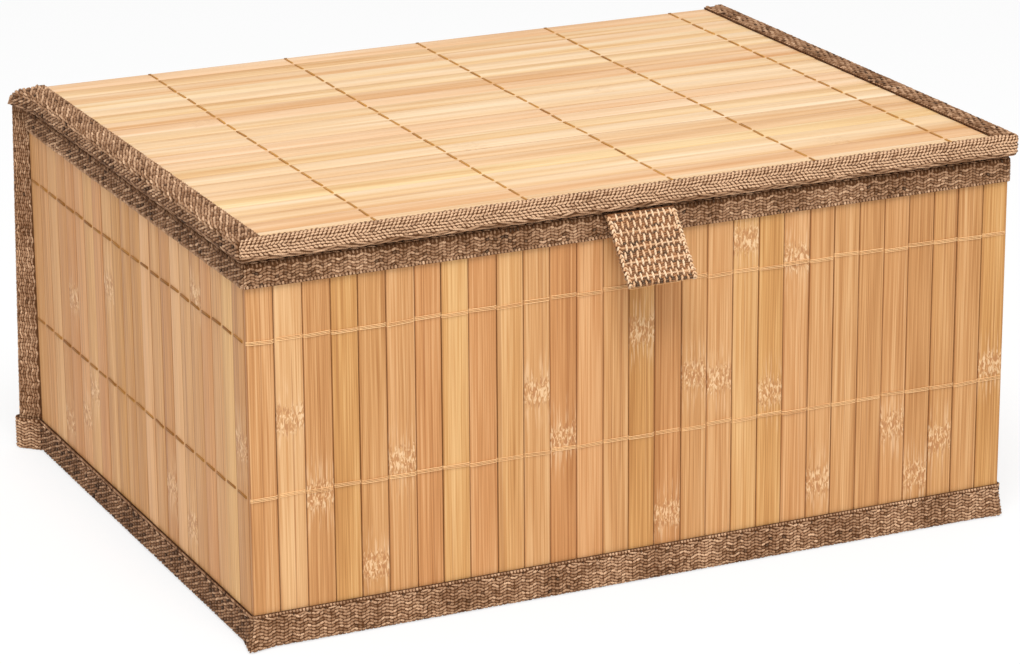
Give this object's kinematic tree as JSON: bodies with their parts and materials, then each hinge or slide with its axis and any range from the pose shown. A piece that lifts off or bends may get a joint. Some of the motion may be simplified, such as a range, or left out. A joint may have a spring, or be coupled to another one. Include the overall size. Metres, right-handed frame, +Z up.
{
  "type": "storage box",
  "caption": "Low rectangular box of bamboo slat mats bound with woven tape, with a flat lid hinged along its rear edge and a cloth pull tab at the front.",
  "frame": {"origin": "on the floor, at the middle of the whole footprint from the pull tab's tip to the bound rear corners", "axes": "+X to the box's right as seen from the front, +Y from the front to the rear, +Z up"},
  "size_m": [0.3066, 0.246, 0.144],
  "materials": {
    "bamboo": "polished bamboo slats with a thin clear lacquer",
    "fibreboard": "plain pressed fibreboard",
    "backing_cloth": "thin plain weave backing cloth",
    "lining_cloth": "smooth plain weave lining",
    "thread": "fine pale thread",
    "binding_tape": "woven brown tape with raised yarns",
    "webbing": "basket weave webbing"
  },
  "bodies": {
    "box": {"front_slats": "bamboo", "left_slats": "bamboo", "right_slats": "bamboo", "back_slats": "bamboo", "base_board": "fibreboard", "front_board": "fibreboard", "left_board": "fibreboard", "right_board": "fibreboard", "back_board": "fibreboard", "base_cloth": "backing_cloth", "wall_cloth": "backing_cloth", "back_cloth": "backing_cloth", "floor_lining": "lining_cloth", "front_lining": "lining_cloth", "left_lining": "lining_cloth", "right_lining": "lining_cloth", "back_lining": "lining_cloth", "lower_wall_thread": "thread", "upper_wall_thread": "thread", "back_threads": "thread", "rim_tape": "binding_tape", "base_tape": "binding_tape", "left_corner_tape": "binding_tape", "right_corner_tape": "binding_tape"},
    "lid": {"lid_board": "fibreboard", "lid_slats": "bamboo", "lid_cloth": "backing_cloth", "lid_lining": "lining_cloth", "lid_threads": "thread", "lid_tape": "binding_tape"},
    "pull_tab": {"pull_tab": "webbing"}
  },
  "joints": [
    {"name": "lid_hinge", "type": "hinge", "parent": "box", "child": "lid", "pos_m": [0, 0.11293, 0.141], "axis": [-1, 0, 0], "range_deg": [0, 110]},
    {"name": "tab_hinge", "type": "hinge", "parent": "lid", "child": "pull_tab", "pos_m": [0, -0.11037, 0.136], "axis": [-1, 0, 0], "range_deg": [-20, 120], "stiffness_Nm_per_rad": 0.01}
  ]
}
